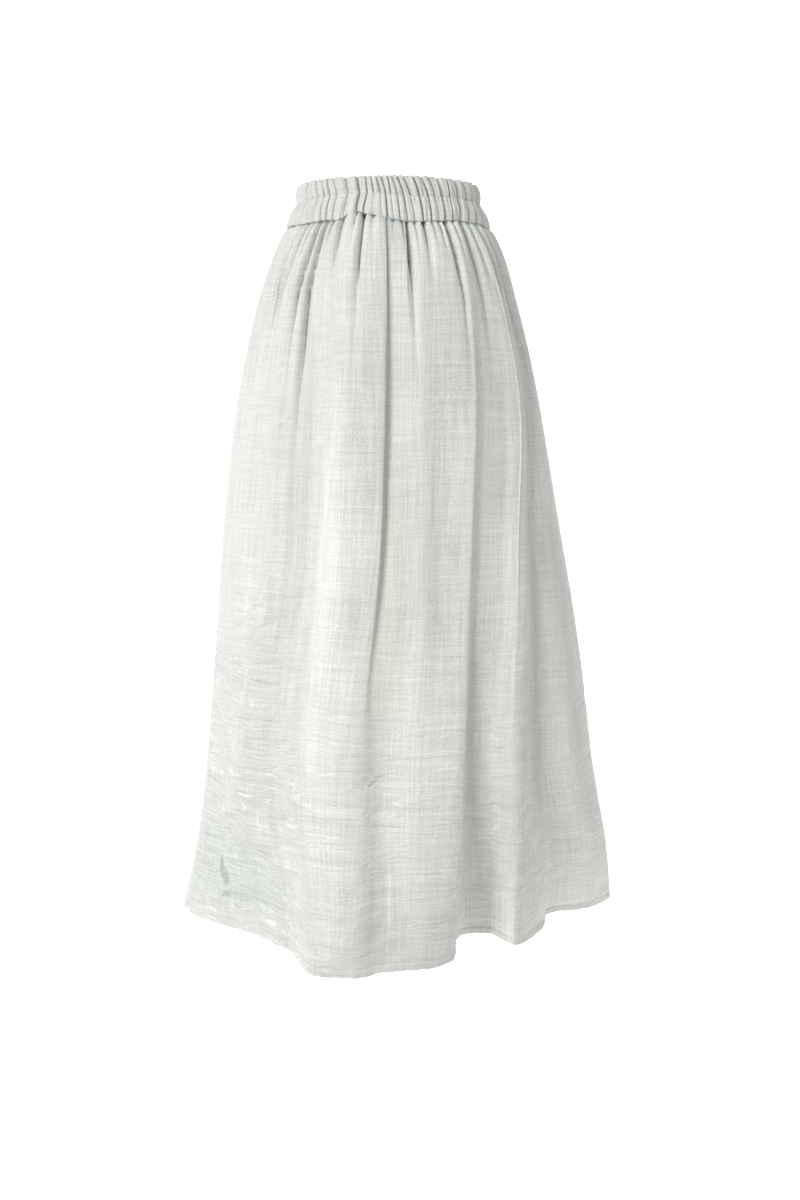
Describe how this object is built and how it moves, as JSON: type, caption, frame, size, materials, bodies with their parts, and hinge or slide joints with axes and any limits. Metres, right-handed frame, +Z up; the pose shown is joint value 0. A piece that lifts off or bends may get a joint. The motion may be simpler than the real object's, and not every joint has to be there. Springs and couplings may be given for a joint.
{
  "type": "gathered maxi skirt",
  "caption": "Long linen skirt in its worn shape: a ruched elastic waistband over hollow gathered panels that flare in soft folds to a level hem.",
  "frame": {"origin": "on the waist's axis, half-way up the waistband, where a wearer's waist holds the skirt", "axes": "+Z up along the wearer's body, -Y towards the front of the skirt, +X to the right as seen from the front"},
  "size_m": [0.5923, 0.4072, 0.945],
  "materials": {
    "band_linen": "matte slubbed linen, ruched on elastic",
    "skirt_linen": "matte slubbed linen in a plain weave"
  },
  "bodies": {
    "root": {"waistband": "band_linen", "skirt_front": "skirt_linen", "skirt_back": "skirt_linen"}
  },
  "joints": []
}
